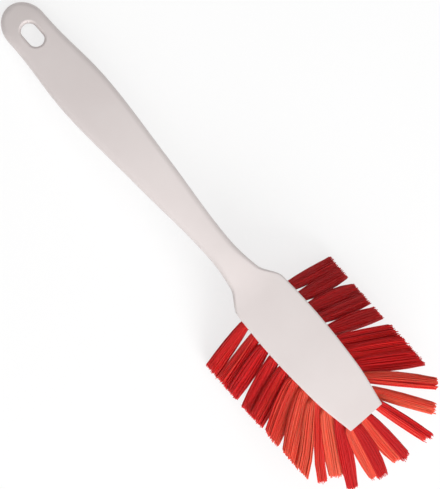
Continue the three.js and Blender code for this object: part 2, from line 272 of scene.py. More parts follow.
@dataclass
class Handle:
    """The moulded handle and head of the level brush: sizes in millimetres, angles in degrees."""

    body_length: float = 248
    end_length: float = 12
    end_width: float = 20.7
    end_nose: float = 2.7
    grip_width: float = 24.6
    grip_at: float = 52
    taper_width: float = 18.9
    neck_width: float = 12.5
    neck_to_head: float = 16
    head_length: float = 85
    head_root_width: float = 15.9
    shoulder_length: float = 11.5
    shoulder_width: float = 27.4
    head_width: float = 28.8
    widest_behind_scraper: float = 52
    cheek_width: float = 26
    cheek_behind_scraper: float = 22
    scraper_width: float = 19
    hang_face_drop: float = 4.6
    hang_face_length: float = 36
    end_thickness: float = 6
    slot_thickness: float = 9
    grip_rise: float = 8.4
    grip_thickness: float = 10.8
    crest_past_grip: float = 30
    neck_rise: float = 3.6
    neck_thickness: float = 11.4
    scraper_drop: float = 1.6
    drop_length: float = 38
    back_crown: float = 0.3
    edge_radius: float = 3
    most_rounding_of_thickness: float = 0.45
    most_rounding_of_half_width: float = 0.96
    rim_height: float = 4
    rim_edge_radius: float = 1
    belly_inset: float = 7
    head_thickness: float = 13
    slot_length: float = 12.5
    slot_width: float = 7.7
    slot_from_end: float = 10.9
    slot_lip: float = 1.3
    socket_diameter: float = 4.4
    anchor_bite: float = 0.6
    anchor_height: float = 1.8
    anchor_thickness: float = 0.5
    low_steps: int = 9
    top_steps: int = 7
    crown_steps: int = 12
    bottom_steps: int = 6
    end_steps: int = 20
    front_steps: int = 12
    long_step: float = 2
    shoulder_step: float = 1
    lip_steps: int = 6
    slot_sides: int = 56
    socket_sides: int = 24
    merge_distance: float = 0.001
    crease_angle: float = 35
    head_root: float = field(init=False)
    shoulder_end: float = field(init=False)
    belly_front: float = field(init=False)
    plan: Profile = field(init=False)
    back: Profile = field(init=False)
    keel: Profile = field(init=False)
    head_share: Profile = field(init=False)

    def __post_init__(self) -> None:
        """Works the places along the brush and the profiles out from the sizes."""
        self.head_root = self.body_length - self.head_length
        self.shoulder_end = self.head_root + self.shoulder_length
        self.belly_front = self.body_length - self.belly_inset
        neck_at = self.head_root - self.neck_to_head
        crest_at = self.grip_at + self.crest_past_grip
        slot_middle = self.slot_from_end + self.slot_length / 2
        self.plan = Profile((
            (0, self.end_width),
            (slot_middle, self.end_width),
            (self.grip_at, self.grip_width),
            ((self.grip_at + neck_at) / 2, self.taper_width),
            (neck_at, self.neck_width),
            (self.head_root, self.head_root_width),
            (self.shoulder_end, self.shoulder_width),
            (self.body_length - self.widest_behind_scraper, self.head_width),
            (self.body_length - self.cheek_behind_scraper, self.cheek_width),
            (self.body_length, self.scraper_width),
        ))
        self.back = Profile((
            (0, self.end_thickness - self.hang_face_drop),
            (slot_middle, self.slot_thickness - self.hang_face_drop),
            (crest_at, self.grip_rise),
            (neck_at, self.neck_rise),
            (self.shoulder_end, 0),
            (self.body_length - self.drop_length, 0),
            (self.body_length, -self.scraper_drop),
        ))
        self.keel = Profile((
            (0, -self.hang_face_drop),
            (self.hang_face_length, -self.hang_face_drop),
            (crest_at, self.grip_rise - self.grip_thickness),
            (neck_at, self.neck_rise - self.neck_thickness),
            (self.shoulder_end, -self.head_thickness),
            (self.belly_front, -self.head_thickness),
        ))
        self.head_share = Profile(((neck_at, 0), (self.shoulder_end, 1)))

    def half_width(self, x: float) -> float:
        """Returns half the width of the plan at x."""
        before_round = min(max(1 - x / self.end_length, 0), 1)
        return self.plan(x) / 2 * math.sqrt(1 - before_round**2)

    def heights(self, x: float) -> Point:
        """Finds the heights of a section.

        Args:
            x: Where along the brush.

        Returns:
            The heights of the underside and of the back's edge.
        """
        back = self.back(x)
        past_belly = min(max((x - self.belly_front) / self.belly_inset, 0), 1)
        bottom = between(back - self.rim_height, self.keel(x), math.sqrt(1 - past_belly**2))
        before_nose = min(max(1 - x / self.end_nose, 0), 1)
        nose = self.end_nose * (1 - math.sqrt(1 - before_nose**2))
        return bottom + nose, back - nose

    def crown(self, half: float, radius: float) -> tuple[float, float, float]:
        """Finds the crowned back that meets its rounded edge smoothly.

        Args:
            half: Half width of the section.
            radius: Radius of the edge.

        Returns:
            The crown's half width, its rise, and the slope angle where it meets the edge.
        """
        rise = self.back_crown * min(1, half / self.end_length)
        slope = math.atan2(2 * rise, half - radius)
        reach = half - radius + radius * math.sin(slope)
        return reach, math.tan(slope) * reach / 2, slope

    def top_height(self, x: float, y: float) -> float:
        """Finds the height of the back at a place inside its edges.

        Args:
            x: Where along the brush.
            y: Where across it.

        Returns:
            The height.
        """
        half = self.half_width(x)
        reach, rise, slope = self.crown(half, self.edge_radius)
        edge = self.heights(x)[1] - self.edge_radius * (1 - math.cos(slope))
        return edge + rise * (1 - (y / reach) ** 2)

    def outline(self, x: float) -> list[Vector]:
        """Draws a section: rounded below, with a crowned back.

        Args:
            x: Where along the brush.

        Returns:
            The points round the section, in level millimetres.
        """
        half = self.half_width(x)
        bottom, back = self.heights(x)
        share = self.head_share(x)
        rounding = min(
            self.edge_radius,
            self.most_rounding_of_thickness * (back - bottom),
            self.most_rounding_of_half_width * half,
        )
        radius = between(rounding, self.rim_edge_radius, share)
        inset = between(rounding, self.belly_inset, share)
        rise = between(rounding, back - bottom - self.rim_height, share)
        reach, crown_rise, slope = self.crown(half, radius)
        side = []
        for turn in [0, *quarter_turns(self.low_steps)]:
            side.append((half - inset * (1 - math.sin(turn)), bottom + rise * (1 - math.cos(turn))))
        for turn in [0, *quarter_turns(self.top_steps)]:
            turn *= 1 - slope / (math.pi / 2)
            side.append((half - radius * (1 - math.cos(turn)), back - radius * (1 - math.sin(turn))))
        top_edge = back - radius * (1 - math.cos(slope))
        crown = []
        for i in range(1, self.crown_steps):
            across = 1 - 2 * i / self.crown_steps
            crown.append((reach * across, top_edge + crown_rise * (1 - across**2)))
        floor = []
        for i in range(1, self.bottom_steps):
            floor.append(((half - inset) * (2 * i / self.bottom_steps - 1), bottom))
        other_side = [(-y, z) for y, z in reversed(side)]
        return [Vector((x, y, z)) for y, z in (*side, *crown, *other_side, *floor)]

    def stations(self) -> list[float]:
        """Spaces the sections, closer where the outline turns faster.

        Returns:
            The places along x that have a section.
        """
        places = [self.end_length * (1 - math.cos(turn)) for turn in quarter_turns(self.end_steps)]
        runs = (
            (self.end_length, self.head_root - self.shoulder_length / 2, self.long_step),
            (self.head_root - self.shoulder_length / 2, self.shoulder_end, self.shoulder_step),
            (self.shoulder_end, self.belly_front, self.long_step),
        )
        for start, end, step in runs:
            count = math.ceil((end - start) / step)
            places += [between(start, end, (i + 1) / count) for i in range(count)]
        for turn in quarter_turns(self.front_steps):
            places.append(self.belly_front + self.belly_inset * math.sin(turn))
        return places

    def slot_cutter(self) -> bpy.types.Object:
        """Models the hanging slot as a solid to cut, flared where it meets the back and the underside.

        Returns:
            The solid, in level millimetres.
        """
        lip = self.slot_lip
        flare = []
        for turn in (0, *quarter_turns(self.lip_steps)[:-1]):
            flare.append((lip * (1 - math.cos(turn)), lip * (1 - math.sin(turn))))
        beyond = flare[-1][0] + lip, flare[-1][1] - lip
        flare.append(beyond)
        rings = []
        for offset, depth in reversed(flare):
            plan = self._stadium(offset)
            rings.append([Vector((x, y, -self.hang_face_drop + depth)) for x, y in plan])
        for offset, depth in flare:
            plan = self._stadium(offset)
            rings.append([Vector((x, y, self.top_height(x, y) - depth)) for x, y in plan])
        cutter = ring_start(self.slot_sides)
        extrude_rings(cutter, len(rings))
        shape_rings(cutter, rings)
        return cutter

    def _stadium(self, offset: float) -> list[Point]:
        """Draws the slot's outline in plan.

        Args:
            offset: How far outside the slot's own wall the outline runs.

        Returns:
            The outline's points.
        """
        straight = self.slot_length / 2 - self.slot_width / 2
        middle = self.slot_from_end + self.slot_length / 2
        radius = self.slot_width / 2 + offset
        points = []
        for i in range(self.slot_sides):
            turn = 2 * math.pi * (i + 0.5) / self.slot_sides
            end = math.copysign(straight, math.cos(turn))
            points.append((middle + end + radius * math.cos(turn), radius * math.sin(turn)))
        return points

    def build(self, lying: Matrix) -> bpy.types.Object:
        """Models the moulding with its slot, in place in the frame.

        Args:
            lying: Level millimetres to frame metres.

        Returns:
            The moulding, before its sockets are cut.
        """
        rings = [self.outline(x) for x in self.stations()]
        piece = ring_start(len(rings[0]))
        extrude_rings(piece, len(rings))
        shape_rings(piece, rings)
        cut(piece, self.slot_cutter())
        piece.data.transform(lying)
        piece.name = "moulded_handle_and_head"
        piece.data.name = piece.name
        return piece

    def cut_sockets(self, piece: bpy.types.Object, tufts: list["Tuft"]) -> None:
        """Cuts a blind socket with its anchor's groove for every tuft into the underside of the head.

        Args:
            piece: The moulding, in place.
            tufts: The tufts, which say where their sockets are.
        """
        bores = []
        grooves = []
        for tuft in tufts:
            start = tuft.mouth - tuft.axis * tuft.socket_depth
            end = tuft.mouth + tuft.axis * tuft.socket_depth
            deselect_all()
            bpy.ops.mesh.primitive_cylinder_add(
                vertices=self.socket_sides,
                radius=self.socket_diameter / 2 * MM,
                depth=(end - start).length,
                location=(start + end) / 2,
                rotation=tuft.axis.to_track_quat("Z", "Y").to_euler(),
            )
            bores.append(bpy.context.object)
            grooves.append(self._groove(tuft))
        cut(piece, join(bores))
        cut(piece, join(grooves))
        merge_corners(piece, self.merge_distance * MM)

    def _groove(self, tuft: "Tuft") -> bpy.types.Object:
        """Models the room that a tuft's anchor takes in the wall of its socket.

        Args:
            tuft: The tuft.

        Returns:
            A box round the anchor, in place.
        """
        middle, along = tuft.anchor_place()
        turn = Matrix((along, tuft.axis, along.cross(tuft.axis))).transposed()
        sizes = (self.socket_diameter + 2 * self.anchor_bite, self.anchor_height, self.anchor_thickness)
        deselect_all()
        bpy.ops.mesh.primitive_cube_add(
            size=1,
            location=middle,
            rotation=turn.to_euler(),
            scale=[(size + 2 * tuft.fit_gap) * MM for size in sizes],
        )
        return bpy.context.object

    def dress(self, piece: bpy.types.Object, finish: bpy.types.Material) -> None:
        """Smooths the moulding and gives it its finish.

        Args:
            piece: The moulding.
            finish: The plastic.
        """
        make_active(piece)
        bpy.ops.object.shade_smooth_by_angle(angle=math.radians(self.crease_angle))
        weighted = piece.modifiers.new("weighted", "WEIGHTED_NORMAL")
        weighted.keep_sharp = True
        bpy.ops.object.modifier_apply(modifier=weighted.name)
        piece.data.materials.clear()
        piece.data.materials.append(finish)
        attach(piece, BODY)
        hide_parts("handle_and_head")


@dataclass(frozen=True)
class View:
    """How the photo looks down on the level brush: millimetres and degrees, and the picture in pixels."""

    aim: tuple[float, float, float] = (144.83, 1.49, 0)
    distance: float = 1600
    brush_turn: float = 48.84
    brush_roll: float = 2.8
    picture_height: float = 489
    pixels_per_millimetre: float = 2.2

    def roll(self) -> Matrix:
        """Returns the turn about the length of the level brush that makes it face the view."""
        return Matrix.Rotation(math.radians(self.brush_roll), 3, "X")

    def place_shown(self, spot: Point, height: float) -> Vector:
        """Finds the place at a height that shows at a spot in the photo.

        Args:
            spot: How far along the brush from the handle's end and across it from the middle the spot is.
            height: The height, in level millimetres.

        Returns:
            The place, in level millimetres.
        """
        aim = Vector(self.aim)
        eye = aim + self.roll() @ Vector((0, 0, self.distance))
        shown = aim + self.roll() @ Vector((spot[0] - aim.x, spot[1] - aim.y, 0))
        return eye.lerp(shown, (eye.z - height) / (eye.z - shown.z))


@dataclass(frozen=True)
class Leg:
    """One leg of a folded tuft, along the ring from its middle: millimetres, fitted to the photo.

    spread is its width at the cut end, and bulge adds to the width half way along. flare says where it
    widens: near the socket at 0 and evenly at 1. The fourth value says how light its filaments are, from 0 to
    1: partly their own tone, partly painted shade where it is low and a painted orange highlight where it is
    high. A trimmed leg ends on the straight line to which the sides of the brush are cut, and shorter takes
    from the length of any other leg.
    """

    spread: float = 3.4
    flare: float = 0.2
    bulge: float = 0.3
    tone: float = 0.4
    trimmed: bool = True
    shorter: float = 0


@dataclass(frozen=True)
class Lay:
    """How a tuft has come to lie: angles in degrees, sizes in millimetres.

    behind and ahead are its two legs. end is where the middle of its cut end shows in the photo, along and
    across the brush, and the tuft is turned in plan to point there. An inner tuft is hidden and has none.
    The rest is listed: lift raises the tuft, longer adds to its untrimmed filaments, split parts the legs
    near the cut end, and depth is half their thickness there.
    """

    behind: Leg = Leg()
    ahead: Leg = Leg()
    end: Point | None = None
    lift: float = 0
    longer: float = 0
    split: float = 0
    depth: float = 2.2


# Each leg's fourth value, its lightness, is painted light: low values are painted shade, on most of the left
# row and one leg of each front tuft, and high values a painted orange highlight, on most of the right row and
# the other front legs.
LAYS: dict[Row, tuple[Lay, ...]] = {
    Row.LEFT: (
        Lay(Leg(3.2, 0.35, 0.2, 0), Leg(3.4, 0.6, 0.3, 0.1), (185.0, 34.7)),
        Lay(Leg(3.4, 0.6, 0.3, 0.04), Leg(2.9, 0.6, 1.45, 0.08), (191.4, 34.8)),
        Lay(Leg(2.9, 0.6, 1.45, 0.1), Leg(3.2, 0.2, 0.3, 0.16), (200.9, 34.9)),
        Lay(Leg(3.2, 0.2, 0.3, 0.08), Leg(3, 0.6, 1.1, 0.2), (207.0, 35.0)),
        Lay(Leg(3, 0.6, 1.1, 0.24), Leg(3.4, 0.2, 0.3, 0.32), (215.3, 35.1)),
        Lay(Leg(3.5, 0.2, 0.3, 0.36), Leg(4, 0.2, 0.4, 0.46), (226.6, 35.2), lift=4),
        Lay(Leg(4, 0.2, 0.4, 0.46), Leg(3.9, 0.2, 0.4, 0.5), (235.0, 35.4), lift=3),
        Lay(Leg(3.9, 0.2, 0.4, 0.36), Leg(3.6, 0.2, 0.8, 0.38), (243.3, 35.7)),
        Lay(
            Leg(2.7, 0.15, 1.3, 0.76, False),
            Leg(2.7, 0.6, 0, 0.58, False),
            (257.0, 33.8), lift=6, longer=1.4,
        ),
        Lay(
            Leg(2.7, 0.3, 0.2, 0.8, False),
            Leg(2.7, 0.3, 0.2, 0.88, False),
            (265.0, 25.5), lift=4, longer=-0.5,
        ),
    ),
    Row.FRONT: (
        Lay(
            Leg(2.5, 0.25, 0.3, 0.34, False),
            Leg(2.5, 0.25, 0.3, 0.56, False, 2.5),
            (273.3, 15.0), lift=4, longer=0.2,
        ),
        Lay(
            Leg(5.1, 0.4, 0.2, 0.18, False),
            Leg(3.7, 0.15, 1.2, 0.82, False, 2.8),
            (272.3, -0.9), lift=4, longer=1,
        ),
        Lay(
            Leg(5.4, 0.15, 1.2, 0.12, False),
            Leg(3.1, 0.2, 0.8, 0.84, False, 2.4),
            (271.7, -14.5), longer=-0.6,
        ),
    ),
    Row.RIGHT: (
        Lay(Leg(3.4, 0.35, 0.2, 0.44), Leg(4.2, 0.9, 0, 0.46), (185.3, -39.1)),
        Lay(Leg(4, 0.8, 0, 0.52), Leg(3.5, 0.25, 0.5, 0.5), (193.4, -39.0)),
        Lay(Leg(3.5, 0.25, 0.5, 0.36), Leg(2.9, 0.2, 0.5, 0.32), (200.2, -38.9)),
        Lay(Leg(2.9, 0.2, 0.5, 0.44), Leg(3.3, 0.2, 0.4, 0.48), (209.2, -38.4)),
        Lay(Leg(3.3, 0.2, 0.4, 0.5), Leg(3.8, 0.2, 0.9, 0.54), (215.5, -37.7), lift=3),
        Lay(Leg(4, 0.2, 0.9, 0.62), Leg(4.2, 0.2, 1, 0.72), (226.1, -37.9), lift=6),
        Lay(Leg(4, 0.2, 1, 0.8), Leg(4.8, 0.2, 0.8, 0.82), (238.3, -37.9), lift=8),
        Lay(
            Leg(5.4, 0.2, 0.9, 0.86),
            Leg(4, 0.2, 0.4, 0.62, False),
            (251.7, -35.7), lift=5, longer=4.2, split=2.3,
        ),
        Lay(Leg(4, 0.2, 0.9, 1, False), Leg(3.4, 0.2, 0.3, 0.96, False), (258.3, -26.7), longer=-1.5),
        Lay(
            Leg(2.6, 0.2, 0.3, 0.38, False),
            Leg(2.6, 0.2, 0.8, 0.3, False),
            (266.8, -25.3), lift=3, longer=0.9,
        ),
    ),
    Row.INNER: (Lay(Leg(3, trimmed=False), Leg(3, trimmed=False), depth=3),) * INNER_TUFTS,
}


@dataclass
class Bristle:
    """One filament: sizes in millimetres."""

    radius: float = 0.2
    tip_radius: float = 0.18
    sides: int = 5
    stops: tuple[float, ...] = (0, 0.08, 0.25, 0.5, 0.78, 1)
    root_above_floor: float = 3.5

    def template(self) -> bpy.types.Mesh:
        """Models the filament once, straight along z.

        Returns:
            The filament's mesh, of radius 1, with its rings one unit apart.
        """
        piece = ring_start(self.sides)
        extrude_rings(piece, len(self.stops) + 1)
        mesh = piece.data
        bpy.data.objects.remove(piece)
        mesh.name = "filament"
        return mesh


@dataclass
class Tuft:
    """A bundle of filaments that stands for one CAD tuft.

    Sizes that are set here are in millimetres, angles in degrees, and what is found from the frame in metres.
    """

    row: Row
    number: int
    lay: Lay
    lying: Matrix
    view: View
    count: int = 220
    root_radius: float = 2.0
    trim_width: float = 75.4
    ring_depth: float = 6.5
    inner_depth: float = 5.8
    fit_gap: float = 0.3
    ragged: float = 0.7
    stray: float = 0.2
    tone_stray: float = 0.07
    end_share: float = 0.25
    end_room: float = 1.2
    split_power: int = 4
    crease_angle: float = 75
    node: str = field(init=False)
    front: Vector = field(init=False)
    up: Vector = field(init=False)
    socket_depth: float = field(init=False)
    mouth: Vector = field(init=False)
    axis: Vector = field(init=False)
    length: float = field(init=False)

    def __post_init__(self) -> None:
        """Finds the brush's directions and the mouth, axis and length of the CAD tuft."""
        self.front, _, self.up = (column.normalized() for column in self.lying.to_3x3().transposed())
        self.node = f"tuft_{self.row.value}_{self.number}"
        depth = self.inner_depth if self.row is Row.INNER else self.ring_depth
        self.socket_depth = depth * MM
        places = [vertex.co.copy() for vertex in frame["nodes"][self.node].data.vertices]
        low = min(places, key=lambda place: place.dot(self.up))
        far = max(places, key=lambda place: (place - low).length)
        tip = self._end_middle(places, low, far)
        root = self._end_middle(places, far, low)
        self.axis = (tip - root).normalized()
        self.mouth = root + self.axis * (depth - self.fit_gap) * MM
        self.length = (tip - self.mouth).length

    def _end_middle(self, places: list[Vector], end: Vector, other: Vector) -> Vector:
        """Returns the middle of the flat end of the CAD tuft that a corner is on.

        Args:
            places: The CAD tuft's corners.
            end: A corner of the end.
            other: A corner of the other end.

        Returns:
            The middle of the end's corners.
        """
        long = other - end
        near = [place for place in places if (place - end).length < long.length * self.end_share]
        ends = [place for place in near if (place - end).dot(long) < long.length * self.end_room * MM]
        return sum(ends, Vector()) / len(ends)

    def anchor_place(self) -> tuple[Vector, Vector]:
        """Finds where the tuft's anchor lies.

        Returns:
            The middle of the CAD anchor, and the direction along its wire.
        """
        anchor = frame["nodes"][f"anchor_{self.row.value}_{self.number}"]
        places = [vertex.co for vertex in anchor.data.vertices]
        low = Vector([min(place[k] for place in places) for k in range(3)])
        high = Vector([max(place[k] for place in places) for k in range(3)])
        way = self.front if self.row is Row.INNER else self.up
        return (low + high) / 2, (way - self.axis * way.dot(self.axis)).normalized()

    def _frame(self) -> tuple[Vector, Vector, Vector]:
        """Turns a ring tuft in plan towards where its cut end shows in the photo, and raises it.

        Returns:
            The tuft's own axis, the direction along the ring and the direction across it.
        """
        if self.row is Row.INNER:
            along = (self.front - self.axis * self.front.dot(self.axis)).normalized()
            return self.axis, along, self.axis.cross(along)
        splay = self.axis.angle(-self.up) + math.radians(self.lay.lift)
        end_height = (self.lying.inverted() @ self.mouth).z - self.length / MM * math.cos(splay)
        flat = self.lying @ self.view.place_shown(self.lay.end, end_height) - self.mouth
        flat = (flat - self.up * flat.dot(self.up)).normalized()
        axis = flat * math.sin(splay) - self.up * math.cos(splay)
        clockwise = -1 if self.row is Row.RIGHT else 1
        along = axis.cross(self.up).normalized() * clockwise
        return axis, along, axis.cross(along)

    def paths(self, bristle: Bristle, chance: random.Random) -> list[tuple[list[Vector], float]]:
        """Works out the centre lines of the filaments, from inside the socket to their cut ends.

        Args:
            bristle: The filament.
            chance: The seeded source of each filament's differences.

        Returns:
            For each filament, the places of its rings and how light it is: its own tone with painted shade
            and highlight.
        """
        axis, along, across = self._frame()
        golden = math.pi * (3 - math.sqrt(5))
        lines = []
        for i in range(self.count):
            far_out = math.sqrt((i + 0.5) / self.count)
            u = far_out * math.cos(i * golden)
            v = far_out * math.sin(i * golden)
            leg = self.lay.ahead if u > 0 else self.lay.behind
            even = (u * math.sqrt(1 - u * u) + math.asin(u)) * 2 / math.pi
            start = (along * u + across * v) * self.root_radius * MM
            stray_along, stray_across, bow_along, bow_across = (chance.gauss(0, self.stray) for _ in range(4))
            end = along * (even * leg.spread + stray_along) * MM
            end += across * (v * self.lay.depth + stray_across) * MM
            bow = (along * (u * leg.bulge + bow_along) + across * bow_across) * MM
            part = along * math.copysign(self.lay.split, u) * MM
            cut_at = self._cut_at(leg, axis, end + part) + chance.gauss(0, self.ragged) * MM
            if axis.z < 0:
                above_floor = (self.mouth + end).z - bristle.radius * MM
                cut_at = min(cut_at, above_floor / -axis.z)
            line = [self.mouth - self.axis * (self.socket_depth - bristle.root_above_floor * MM) + start]
            for stop in bristle.stops:
                side = start.lerp(end, stop**leg.flare) + bow * arch(stop) + part * stop**self.split_power
                line.append(self.mouth + axis * cut_at * stop + side)
            # The leg's lightness paints shade on some tufts and highlight on others; the random stray is each
            # filament's own tone.
            tone = leg.tone + chance.gauss(0, self.tone_stray)
            lines.append((line, min(max(tone, 0), 1)))
        return lines

    def _cut_at(self, leg: Leg, axis: Vector, end: Vector) -> float:
        """Finds how far along the tuft a filament is cut.

        Args:
            leg: The leg that the filament is in.
            axis: The tuft's own axis.
            end: How far to the side of the axis the filament's end is.

        Returns:
            The length from the mouth to the cut end.
        """
        if not leg.trimmed:
            return self.length + (self.lay.longer - leg.shorter) * MM
        trim = math.copysign(self.trim_width / 2 * MM, axis.y)
        return (trim - (self.mouth + end).y) / axis.y

    def build(self, bristle: Bristle, template: bpy.types.Mesh, chance: random.Random) -> bpy.types.Object:
        """Copies the filament along every centre line.

        Args:
            bristle: The filament's sizes.
            template: The filament's mesh.
            chance: The seeded source of each filament's differences.

        Returns:
            The tuft, in place.
        """
        bundle = bmesh.new()
        tones_and_painted_light = []
        reaches = []
        last = len(bristle.stops)
        for line, tone in self.paths(bristle, chance):
            first = len(bundle.verts)
            bundle.from_mesh(template)
            bundle.verts.ensure_lookup_table()
            ahead = [line[min(ring + 1, last)] - line[max(ring - 1, 0)] for ring in range(last + 1)]
            turns = [way.to_track_quat("Z", "Y") for way in ahead]
            for vertex in bundle.verts[first:]:
                ring = round(vertex.co.z)
                reach = bristle.stops[max(ring - 1, 0)]
                radius = between(bristle.radius, bristle.tip_radius, reach) * MM
                vertex.co = line[ring] + turns[ring] @ Vector((vertex.co.x, vertex.co.y, 0)) * radius
                tones_and_painted_light.append(tone)
                reaches.append(reach)
        mesh = bpy.data.meshes.new(f"bristles_{self.row.value}_{self.number}")
        bundle.to_mesh(mesh)
        bundle.free()
        # The tone attribute holds each filament's own tone with the painted shade and highlight of its leg.
        mesh.attributes.new("tone", "FLOAT", "POINT").data.foreach_set("value", tones_and_painted_light)
        mesh.attributes.new("reach", "FLOAT", "POINT").data.foreach_set("value", reaches)
        piece = bpy.data.objects.new(mesh.name, mesh)
        bpy.context.scene.collection.objects.link(piece)
        return piece

    def dress(self, piece: bpy.types.Object, finish: bpy.types.Material) -> None:
        """Smooths the filaments' sides and gives them their finish.

        Args:
            piece: The tuft.
            finish: The filament's material.
        """
        make_active(piece)
        bpy.ops.object.shade_smooth_by_angle(angle=math.radians(self.crease_angle))
        piece.data.materials.append(finish)
        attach(piece, BODY)
        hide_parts(self.node)


class NodeBoard:
    """Places and joins the nodes of one material, world or group."""

    def __init__(self, tree: bpy.types.NodeTree) -> None:
        """Takes the tree and empties it."""
        self.tree = tree
        tree.nodes.clear()

    def add(self, kind: str, **values: object) -> bpy.types.Node:
        """Adds a node.

        Args:
            kind: The node's type name.
            values: Settings of the node, or values of its input sockets by their names with _ for a space.

        Returns:
            The node.
        """
        node = self.tree.nodes.new(kind)
        for name, value in values.items():
            socket = node.inputs.get(name.replace("_", " "))
            if socket is None:
                setattr(node, name, value)
            else:
                socket.default_value = value
        return node

    def join(self, start: bpy.types.NodeSocket, end: bpy.types.NodeSocket) -> None:
        """Links an output socket to an input socket."""
        self.tree.links.new(start, end)


@dataclass(frozen=True)
class Mottle:
    """Soft noise that varies a value over a surface, which the finishes share."""

    fineness: float = 100
    detail: float = 3
    roughness: float = 0.55
    lowest_noise: float = 0.3
    highest_noise: float = 0.7

    def group(self) -> bpy.types.NodeTree:
        """Builds the node group, on Object coordinates.

        Returns:
            The group, with the inputs Fineness, Stretch, Low and High and the output Value.
        """
        group = bpy.data.node_groups.new("mottle", "ShaderNodeTree")
        for name, default in (("Fineness", self.fineness), ("Stretch", 1.0), ("Low", 0.0), ("High", 1.0)):
            socket = group.interface.new_socket(name, in_out="INPUT", socket_type="NodeSocketFloat")
            socket.default_value = default
        group.interface.new_socket("Value", in_out="OUTPUT", socket_type="NodeSocketFloat")
        board = NodeBoard(group)
        inputs = board.add("NodeGroupInput")
        place = board.add("ShaderNodeTexCoord")
        stretch = board.add("ShaderNodeCombineXYZ", Y=1.0, Z=1.0)
        scaled = board.add("ShaderNodeVectorMath", operation="MULTIPLY")
        noise = board.add("ShaderNodeTexNoise", Detail=self.detail, Roughness=self.roughness)
        spread = board.add("ShaderNodeMapRange", From_Min=self.lowest_noise, From_Max=self.highest_noise)
        output = board.add("NodeGroupOutput")
        board.join(inputs.outputs["Stretch"], stretch.inputs["X"])
        board.join(place.outputs["Object"], scaled.inputs[0])
        board.join(stretch.outputs["Vector"], scaled.inputs[1])
        board.join(scaled.outputs["Vector"], noise.inputs["Vector"])
        board.join(inputs.outputs["Fineness"], noise.inputs["Scale"])
        board.join(noise.outputs["Fac"], spread.inputs["Value"])
        board.join(inputs.outputs["Low"], spread.inputs["To Min"])
        board.join(inputs.outputs["High"], spread.inputs["To Max"])
        board.join(spread.outputs["Result"], output.inputs["Value"])
        return group


def add_mottle(board: NodeBoard, group: bpy.types.NodeTree, **values: float) -> bpy.types.NodeSocket:
    """Places the mottle group in a material.

    Args:
        board: The material's nodes.
        group: The shared group.
        values: Its inputs.

    Returns:
        The group's output socket.
    """
    node = board.add("ShaderNodeGroup")
    node.node_tree = group
    for name, value in values.items():
        node.inputs[name].default_value = value
    return node.outputs["Value"]


def start_material(name: str) -> tuple[bpy.types.Material, NodeBoard, bpy.types.Node]:
    """Starts a material with a Principled shader as its surface.

    Args:
        name: The material's name.

    Returns:
        The material, its nodes and the shader.
    """
    made = bpy.data.materials.new(name)
    made.use_nodes = True
    board = NodeBoard(made.node_tree)
    output = board.add("ShaderNodeOutputMaterial")
    shader = board.add("ShaderNodeBsdfPrincipled")
    board.join(shader.outputs["BSDF"], output.inputs["Surface"])
    return made, board, shader


def mix_colours(board: NodeBoard, first: Colour, second: Colour) -> bpy.types.Node:
    """Adds a mix of two colours.

    Args:
        board: The material's nodes.
        first: The colour at factor 0.
        second: The colour at factor 1.

    Returns:
        The mix node.
    """
    mix = board.add("ShaderNodeMix", data_type="RGBA")
    mix.inputs["A"].default_value = (*first, 1)
    mix.inputs["B"].default_value = (*second, 1)
    return mix


@dataclass(frozen=True)
class PlasticFinish:
    """Satin moulded polypropylene, warm white: sizes in millimetres."""

    light: Colour = (0.785, 0.715, 0.70)
    shade: Colour = (0.755, 0.68, 0.665)
    gloss: float = 0.45
    cloud_fineness: float = 30
    sheen_fineness: float = 220
    smoothest: float = 0.38
    roughest: float = 0.48
    grain_fineness: float = 1600
    grain_strength: float = 0.12
    grain_height: float = 0.1

    def material(self, mottle: bpy.types.NodeTree) -> bpy.types.Material:
        """Builds the plastic: faint clouding, an uneven satin gloss and a fine moulded grain.

        Args:
            mottle: The shared noise group.

        Returns:
            The material.
        """
        made, board, shader = start_material("satin_plastic")
        shader.inputs["Specular IOR Level"].default_value = self.gloss
        colour = mix_colours(board, self.light, self.shade)
        bump = board.add("ShaderNodeBump", Strength=self.grain_strength, Distance=self.grain_height * MM)
        clouds = add_mottle(board, mottle, Fineness=self.cloud_fineness)
        uneven = {"Fineness": self.sheen_fineness, "Low": self.smoothest, "High": self.roughest}
        sheen = add_mottle(board, mottle, **uneven)
        grain = add_mottle(board, mottle, Fineness=self.grain_fineness)
        board.join(clouds, colour.inputs["Factor"])
        board.join(colour.outputs["Result"], shader.inputs["Base Color"])
        board.join(sheen, shader.inputs["Roughness"])
        board.join(grain, bump.inputs["Height"])
        board.join(bump.outputs["Normal"], shader.inputs["Normal"])
        return made


